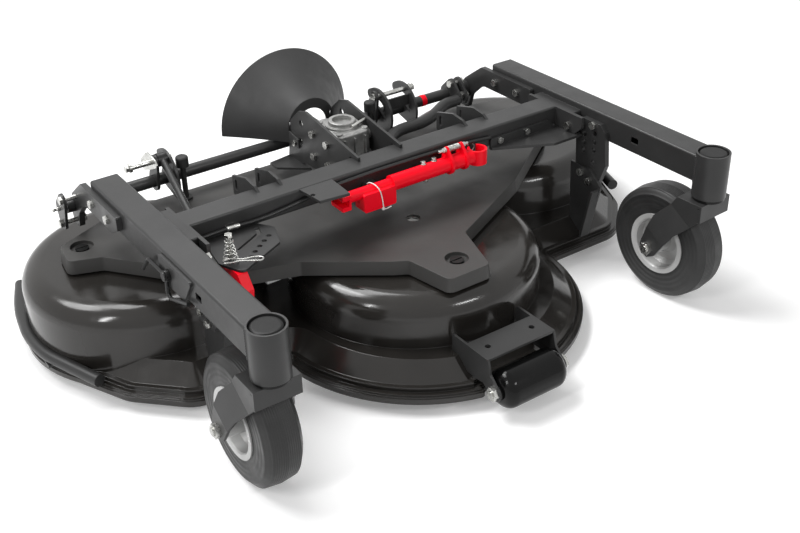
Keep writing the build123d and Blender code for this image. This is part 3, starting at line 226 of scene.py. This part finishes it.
def plastic(name, color, light, rough, grain=500.0, grain_depth=0.25, edge=0.0012, gloss=0.3):
    """Moulded plastic or rubber with a fine grain."""
    skin = moulded(name, color, light, rough, gloss)
    skin.bump(skin.noise(grain, 3.0), grain_depth, SKIN_DEPTH, skin.rounded(edge))
    return skin.material


def tyre(name, centre):
    """Rubber with fine grooves round the tread and moulded rings on the walls, about a wheel centre."""
    skin = moulded(name, grey(0.016), grey(0.028), 0.44, 0.3)
    offset = skin.node("ShaderNodeVectorMath")
    offset.operation = "SUBTRACT"
    offset.inputs[1].default_value = centre
    skin.link(skin.place, offset.inputs[0])
    parts = skin.node("ShaderNodeSeparateXYZ")
    skin.link(offset.outputs["Vector"], parts.inputs["Vector"])
    across = skin.node("ShaderNodeCombineXYZ")
    skin.link(parts.outputs["Y"], across.inputs["Y"])
    skin.link(parts.outputs["Z"], across.inputs["Z"])
    reach = skin.node("ShaderNodeVectorMath")
    reach.operation = "LENGTH"
    skin.link(across.outputs["Vector"], reach.inputs[0])
    radius = reach.outputs["Value"]

    def waves(source, pitch):
        return skin.maths("SINE", skin.maths("MULTIPLY", source, 2 * math.pi / pitch))

    grooves = waves(parts.outputs["X"], TREAD_GROOVE_PITCH)
    rings = waves(radius, WALL_RING_PITCH)
    on_tread = skin.ramp(radius, 0.0, 1.0, TYRE_WALL_RADIUS, TYRE_TREAD_RADIUS)
    on_wall = skin.ramp(radius, 1.0, 0.0, TYRE_WALL_RADIUS, TYRE_TREAD_RADIUS)
    tread = skin.maths("MULTIPLY", grooves, on_tread)
    wall = skin.maths("MULTIPLY", rings, on_wall)
    ribs = skin.bump(skin.maths("ADD", tread, wall), 0.3, RIB_DEPTH, skin.rounded(BROAD_EDGE))
    skin.bump(skin.noise(320.0, 3.0), 0.25, SKIN_DEPTH, ribs)
    return skin.material


finish = {
    "deck_paint": paint("deck_paint", (0.017, 0.0155, 0.014), (0.023, 0.021, 0.019), 0.15,
                        grain=420.0, grain_depth=0.04, edge=BROAD_EDGE, gloss=0.4),
    "cover_paint": paint("cover_paint", (0.040, 0.039, 0.038), (0.048, 0.047, 0.045), 0.42,
                         grain_depth=0.14, edge=BROAD_EDGE),
    "frame_paint": paint("frame_paint", grey(0.024), grey(0.032), 0.36, grain=800.0),
    "red_paint": paint("red_paint", (0.94, 0.002, 0.014), (0.98, 0.004, 0.020), 0.3,
                       grain=600.0, grain_depth=0.06, gloss=0.14),
    "rim_paint": paint("rim_paint", (0.38, 0.38, 0.375), (0.46, 0.46, 0.455), 0.22,
                       grain=600.0, grain_depth=0.1, gloss=0.6),
    "black_steel": paint("black_steel", grey(0.010), grey(0.016), 0.3,
                         grain=700.0, grain_depth=0.1, gloss=0.25),
    "zinc_steel": metal("zinc_steel", (0.58, 0.58, 0.56), (0.36, 0.36, 0.34), 0.26),
    "plain_steel": metal("plain_steel", (0.42, 0.42, 0.41), (0.30, 0.30, 0.29), 0.34, (1.0, 1.0, 12.0)),
    "blade_steel": metal("blade_steel", grey(0.20), grey(0.12), 0.42, (12.0, 1.0, 1.0)),
    "bearing_steel": metal("bearing_steel", (0.55, 0.55, 0.53), (0.45, 0.45, 0.44), 0.22),
    "cast_metal": cast("cast_metal", grey(0.10), grey(0.06), 0.5),
    "cast_aluminium": cast("cast_aluminium", (0.38, 0.38, 0.37), (0.20, 0.20, 0.195), 0.42),
    "black_plastic": plastic("black_plastic", grey(0.005), grey(0.009), 0.34, grain_depth=0.2, gloss=0.16),
    "guard_plastic": plastic("guard_plastic", grey(0.030), grey(0.038), 0.5,
                             grain=380.0, grain_depth=0.2, edge=BROAD_EDGE),
    "roller_plastic": plastic("roller_plastic", grey(0.003), grey(0.005), 0.14,
                              grain=260.0, grain_depth=0.04, edge=0.003, gloss=0.16),
    "black_rubber": plastic("black_rubber", grey(0.016), grey(0.026), 0.55),
    "belt_rubber": plastic("belt_rubber", grey(0.02), grey(0.03), 0.6),
    "tyre_rubber": plastic("tyre_rubber", grey(0.018), grey(0.030), 0.44,
                           grain=320.0, grain_depth=0.3, edge=BROAD_EDGE),
    "cable_sheath": plastic("cable_sheath", grey(0.014), grey(0.02), 0.35),
}

for part in record["subparts"]:
    node = nodes[part["node"]]
    node.data.materials.clear()
    node.data.materials.append(finish[part["material_slot"]])

for side, tag in SIDES:
    nodes[f"wheel_tyre_{tag}"].data.materials[0] = tyre(f"tyre_{tag}", at(side * ARM_X, *WHEEL_CENTRE))


# Stage

FLOOR_HALF = 9.0
FLOOR_COLOR = (0.86, 0.86, 0.86, 1.0)
FLOOR_GLOW = 0.22
SKY_LIGHT = 0.36
SKY_SEEN = 1.0
WHITE = (1.0, 1.0, 1.0, 1.0)

floor_mesh = bpy.data.meshes.new("floor")
corners = [(-FLOOR_HALF, -FLOOR_HALF, 0), (FLOOR_HALF, -FLOOR_HALF, 0), (FLOOR_HALF, FLOOR_HALF, 0),
           (-FLOOR_HALF, FLOOR_HALF, 0)]
floor_mesh.from_pydata(corners, [], [(0, 1, 2, 3)])
floor = bpy.data.objects.new("floor", floor_mesh)
bpy.context.scene.collection.objects.link(floor)


def white_rays(tree):
    """Socket that is 1 for rays of the camera, of reflections and through glass."""
    rays = tree.nodes.new("ShaderNodeLightPath")
    socket = rays.outputs["Is Camera Ray"]
    for kind in ("Is Glossy Ray", "Is Transmission Ray"):
        either = tree.nodes.new("ShaderNodeMath")
        either.operation = "MAXIMUM"
        tree.links.new(socket, either.inputs[0])
        tree.links.new(rays.outputs[kind], either.inputs[1])
        socket = either.outputs[0]
    return socket


def background(tree, strength):
    """Socket of a white background of one strength."""
    made = tree.nodes.new("ShaderNodeBackground")
    made.inputs["Color"].default_value = WHITE
    made.inputs["Strength"].default_value = strength
    return made.outputs["Background"]


surface = bpy.data.materials.new("floor")
surface.use_nodes = True
ground = surface.node_tree
ground.nodes.clear()
ground_out = ground.nodes.new("ShaderNodeOutputMaterial")
ground_mix = ground.nodes.new("ShaderNodeAddShader")
flat = ground.nodes.new("ShaderNodeBsdfDiffuse")
flat.inputs["Color"].default_value = FLOOR_COLOR
glow = ground.nodes.new("ShaderNodeEmission")
glow.inputs["Color"].default_value = WHITE
glow_seen = ground.nodes.new("ShaderNodeMath")
glow_seen.operation = "MULTIPLY"
glow_seen.inputs[1].default_value = FLOOR_GLOW
ground.links.new(white_rays(ground), glow_seen.inputs[0])
ground.links.new(glow_seen.outputs[0], glow.inputs["Strength"])
ground.links.new(flat.outputs["BSDF"], ground_mix.inputs[0])
ground.links.new(glow.outputs["Emission"], ground_mix.inputs[1])
ground.links.new(ground_mix.outputs["Shader"], ground_out.inputs["Surface"])
floor_mesh.materials.append(surface)

world = bpy.data.worlds.new("studio")
bpy.context.scene.world = world
world.use_nodes = True
sky = world.node_tree
sky.nodes.clear()
sky_out = sky.nodes.new("ShaderNodeOutputWorld")
sky_mix = sky.nodes.new("ShaderNodeMixShader")
sky.links.new(white_rays(sky), sky_mix.inputs["Fac"])
sky.links.new(background(sky, SKY_LIGHT), sky_mix.inputs[1])
sky.links.new(background(sky, SKY_SEEN), sky_mix.inputs[2])
sky.links.new(sky_mix.outputs["Shader"], sky_out.inputs["Surface"])


def facing(direction):
    """Rotation of a light that shines along a direction."""
    return Vector(direction).to_track_quat("-Z", "Y").to_euler()


def softbox(name, place, target, width, height, power):
    """Rectangular studio light that faces a point."""
    light = bpy.data.lights.new(name, "AREA")
    light.shape = "RECTANGLE"
    light.size = width
    light.size_y = height
    light.energy = power
    lamp = bpy.data.objects.new(name, light)
    lamp.location = place
    lamp.rotation_euler = facing(Vector(target) - Vector(place))
    bpy.context.scene.collection.objects.link(lamp)


softbox("top_light", (-0.3, 1.0, 2.2), (0, 0, 0.2), width=1.5, height=0.9, power=36)
softbox("left_light", (-2.4, -0.7, 1.7), (-0.3, 0, 0.1), width=0.18, height=1.0, power=22)
softbox("front_light", (0.6, -2.4, 1.9), (0.1, 0, 0.2), width=0.9, height=0.16, power=16)

daylight = bpy.data.lights.new("key_light", "SUN")
daylight.energy = 1.5
daylight.angle = 0.42
key_light = bpy.data.objects.new("key_light", daylight)
key_light.rotation_euler = facing((0.45, -0.5, -1.0))
bpy.context.scene.collection.objects.link(key_light)


# Small pieces that only the looks need

SHARP_ANGLE = math.radians(35.0)
PATH_STEPS = 8
WASHER_THICK = 1.9
BEAD_RADIUS = 2.4
BEAD_STEP = 0.0012
COIL_STEPS = 28

extra = {"tie_plastic": plastic("tie_plastic", (0.72, 0.72, 0.70), (0.80, 0.80, 0.78), 0.4)}


def piece(name, mesh, slot, body="root", smooth=True):
    """Mesh object in the part's frame that rides on a body and takes one finish."""
    made = bpy.data.objects.new(name, mesh)
    bpy.context.scene.collection.objects.link(made)
    mesh.materials.append(finish[slot] if slot in finish else extra[slot])
    if smooth:
        for face in mesh.polygons:
            face.use_smooth = True
    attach(made, body)
    return made


def mesh_of(name, work):
    """Mesh of the finished work."""
    mesh = bpy.data.meshes.new(name)
    work.to_mesh(mesh)
    work.free()
    return mesh


def closed_tube(work, rings):
    """Faces from ring to ring of vertices, with a cap at each end."""
    for low, high in zip(rings, rings[1:]):
        for step in range(len(low)):
            after = (step + 1) % len(low)
            work.faces.new((low[step], low[after], high[after], high[step]))
    work.faces.new(list(reversed(rings[0])))
    work.faces.new(rings[-1])


def frame_of(axis):
    """Rotation that turns +Z onto an axis."""
    return Vector(axis).normalized().to_track_quat("Z", "Y").to_matrix().to_4x4()


def sharp_edges(mesh):
    """Keeps the hard edges of a smooth mesh hard."""
    work = bmesh.new()
    work.from_mesh(mesh)
    for edge in work.edges:
        if len(edge.link_faces) == 2:
            edge.smooth = edge.calc_face_angle() < SHARP_ANGLE
    work.to_mesh(mesh)
    work.free()


def soften(made, width):
    """Rounds the edges of a flat-sided piece."""
    soft = made.modifiers.new("edges", "BEVEL")
    soft.width = width
    soft.segments = 2


def lathe(name, profile, place, axis, slot, steps=32):
    """Turned piece from (radius, height) millimetre pairs, about an axis through a place."""
    work = bmesh.new()
    rings = []
    for radius, height in profile:
        ring = []
        for step in range(steps):
            angle = 2 * math.pi * step / steps
            point = Vector((radius * math.cos(angle), radius * math.sin(angle), height)) * MM
            ring.append(work.verts.new(point))
        rings.append(ring)
    closed_tube(work, rings)
    work.transform(Matrix.Translation(place) @ frame_of(axis))
    mesh = mesh_of(name, work)
    piece(name, mesh, slot)
    sharp_edges(mesh)


def smooth_path(places):
    """Catmull-Rom path through places of the drawing."""
    points = [at(*place) for place in places]
    padded = [2 * points[0] - points[1]] + points + [2 * points[-1] - points[-2]]
    path = []
    for a, b, c, d in zip(padded, padded[1:], padded[2:], padded[3:]):
        for step in range(PATH_STEPS):
            t = step / PATH_STEPS
            path.append(0.5 * (2 * b + (c - a) * t + (2 * a - 5 * b + 4 * c - d) * t * t
                               + (3 * b - a - 3 * c + d) * t * t * t))
    path.append(points[-1])
    return path


def wire(name, path, radius, slot, steps=12, ripple=0.0, pitch=1):
    """Round wire, tube or weld bead of a radius in millimetres along a path."""
    work = bmesh.new()
    side = None
    rings = []
    for index, point in enumerate(path):
        ahead = path[min(index + 1, len(path) - 1)] - path[max(index - 1, 0)]
        ahead.normalize()
        if side is None:
            side = ahead.orthogonal().normalized()
        side = (side - ahead * side.dot(ahead)).normalized()
        other = ahead.cross(side)
        swell = 1 + ripple * math.sin(2 * math.pi * index / pitch)
        ring = []
        for step in range(steps):
            angle = 2 * math.pi * step / steps
            reach = (side * math.cos(angle) + other * math.sin(angle)) * radius * MM * swell
            ring.append(work.verts.new(point + reach))
        rings.append(ring)
    closed_tube(work, rings)
    piece(name, mesh_of(name, work), slot)


def bead(name, start, end):
    """Weld bead between two points, with the ripples of the pool."""
    count = max(8, int((end - start).length / BEAD_STEP))
    path = [start.lerp(end, step / count) for step in range(count + 1)]
    wire(name, path, BEAD_RADIUS, "frame_paint", steps=8, ripple=0.14, pitch=4)


def bolt(name, place, axis, across):
    """Zinc-plated hex head with softened edges, of a width across its flats, on a round washer."""
    small, large = across * 0.62, across * 0.66
    lathe(name + "_washer", [(small, 0.0), (large, 0.4), (large, 1.4), (small, WASHER_THICK)], place, axis,
          "zinc_steel", 40)
    radius = across / math.sqrt(3) * MM
    height = across * 0.55
    work = bmesh.new()
    bmesh.ops.create_cone(work, cap_ends=True, segments=6, radius1=radius, radius2=radius, depth=height * MM)
    work.transform(Matrix.Translation(place) @ frame_of(axis)
                   @ Matrix.Translation((0, 0, (WASHER_THICK + height / 2) * MM)))
    soften(piece(name, mesh_of(name, work), "zinc_steel", smooth=False), 0.0009)


def coil(name, start, end, radius_start, radius_end, turns, gauge):
    """Open coil spring of zinc-plated wire between two points, each end with its own radius."""
    axis = (end - start).normalized()
    side = axis.orthogonal().normalized()
    other = axis.cross(side)
    path = []
    count = int(turns * COIL_STEPS)
    for step in range(count + 1):
        part = step / count
        radius = (radius_start + (radius_end - radius_start) * part) * MM
        angle = 2 * math.pi * turns * part
        path.append(start.lerp(end, part) + (side * math.cos(angle) + other * math.sin(angle)) * radius)
    wire(name, path, gauge, "zinc_steel", steps=10)


def plate(name, outline, x, thick):
    """Flat zinc-plated link across X, from (y, z) millimetre pairs, with softened edges."""
    work = bmesh.new()
    near = [work.verts.new(at(x, y, z)) for y, z in outline]
    far = [work.verts.new(at(x + thick, y, z)) for y, z in outline]
    work.faces.new(near)
    work.faces.new(list(reversed(far)))
    for index in range(len(outline)):
        after = (index + 1) % len(outline)
        work.faces.new((near[after], near[index], far[index], far[after]))
    bmesh.ops.recalc_face_normals(work, faces=work.faces)
    soften(piece(name, mesh_of(name, work), "zinc_steel", smooth=False), 0.0007)


# Height pin with its cone spring and wire clip on the sector plate

bolt("sector_pin", at(*HEIGHT_PIN, 345), (0, 0, 1), 13)
lathe("sector_pin_stem", [(5, 0), (5, 44)], at(*HEIGHT_PIN, 301.5), (0, 0, 1), "zinc_steel")
coil("sector_spring", at(*HEIGHT_PIN, 302.6), at(*HEIGHT_PIN, 343), 15, 6.5, turns=5, gauge=1.1)

clip_loop = [(-446, 291, 312), (-432, 286, 312), (-416, 281, 312), (-402, 272, 312), (-386, 262, 312),
             (-377, 265, 312), (-380, 274, 312), (-394, 281, 312), (-410, 285, 312), (-424, 294, 313),
             (-440, 300, 313)]
wire("sector_clip", smooth_path(clip_loop), 1.4, "zinc_steel")

# Screw, spring, nuts, studs, tie and hook of the stored strut

lathe("strut_screw", [(2.4, 0), (3.3, 1), (3.3, 77), (2.4, 78)], at(108, *STRUT_SCREW), (1, 0, 0),
      "zinc_steel")
coil("strut_spring", at(133, *STRUT_SCREW), at(163, *STRUT_SCREW), 5.6, 5.6, turns=9, gauge=1.1)
bolt("strut_nut_left", at(126, *STRUT_SCREW), (-1, 0, 0), 10)
bolt("strut_nut_right", at(170, *STRUT_SCREW), (1, 0, 0), 10)
bolt("strut_stud_left", at(66, 378, 325.5), (0, 0.15, 1), 10)
bolt("strut_stud_right", at(94, 378, 325.5), (0, 0.15, 1), 10)
bolt("strut_stop", at(70, 375, 292.5), (0, 0, -1), 9)

tie_loop = [(-52, 353.4, 271), (-55, 353.2, 294), (-59, 354, 312), (-62, 362, 321), (-64, 375, 323),
            (-66, 387, 320), (-66, 391, 311), (-62, 391, 290), (-58, 390, 271), (-55, 384, 270),
            (-54, 360, 270), (-50, 348, 272), (-44, 338, 280)]
wire("strut_tie", smooth_path(tie_loop), 1.3, "tie_plastic")
lathe("strut_tie_lock", [(2.2, 0), (3.0, 0.6), (3.0, 4.6), (2.2, 5.2)], at(-53, 353.5, 268), (0, 0, 1),
      "tie_plastic")

hook_path = [(198, 396, 325), (203, 404, 329), (212, 405, 326), (219, 404, 318), (221, 404, 312),
             (215, 404, 305), (208, 402, 306)]
wire("strut_hook", smooth_path(hook_path), 1.6, "zinc_steel")

# Crimped end of the height cable

lathe("cable_end_left", [(4.2, 0), (5.2, 1), (5.2, 12), (4.4, 14), (5.2, 16), (5.2, 27), (4.2, 28)],
      at(-383, 399.7, 314.9), (1, 0, -0.05), "zinc_steel")

# Band, link, nuts and grease nipple at the cross tube

lathe("cross_band", [(13.6, 0), (14.2, 0.5), (14.2, 13.5), (13.6, 14)], at(334, *CROSS_TUBE), (1, 0, 0),
      "red_paint")

clevis_outline = [(801, 300), (799, 312), (790, 320), (768, 337), (758, 342), (738, 340), (720, 336),
                  (712, 328), (716, 320), (732, 312), (752, 303), (778, 292), (790, 288)]
plate("clevis_left", clevis_outline, -384, 3.5)
bolt("clevis_bolt_left", at(-384, 789, 304), (-1, 0, 0), 12)
bolt("crank_nut_left", at(-432, *CRANK_PIN), (-1, 0, 0), 15)
lathe("clamp_nipple", [(4.5, 0), (4.5, 5), (3.0, 7), (3.0, 10), (4.0, 12), (3.2, 15), (1.6, 16)],
      at(-588, 760, 272), (-1, 0, 0), "zinc_steel")
bolt("crank_nut_right", at(291, *CRANK_PIN), (1, 0, 0), 15)

# Bar on the gearbox

lathe("gearbox_bar", [(2.5, 0), (4, 1.2), (4, 49), (2.5, 50)], at(4, 552, 367), (46, 18, 0), "zinc_steel")

# Weld beads where the arms meet the caster tubes

for side, tag in SIDES:
    for outward, place in ((ARM_HALF, "outer"), (-ARM_HALF, "inner")):
        x = side * (ARM_X + outward)
        bead(f"tube_weld_{place}_{tag}", at(x, 17.5, 301.5), at(x, 17.5, 358.5))
    bead(f"tube_weld_under_{tag}", at(side * ARM_X - 28, 21, 299.5), at(side * ARM_X + 28, 21, 299.5))
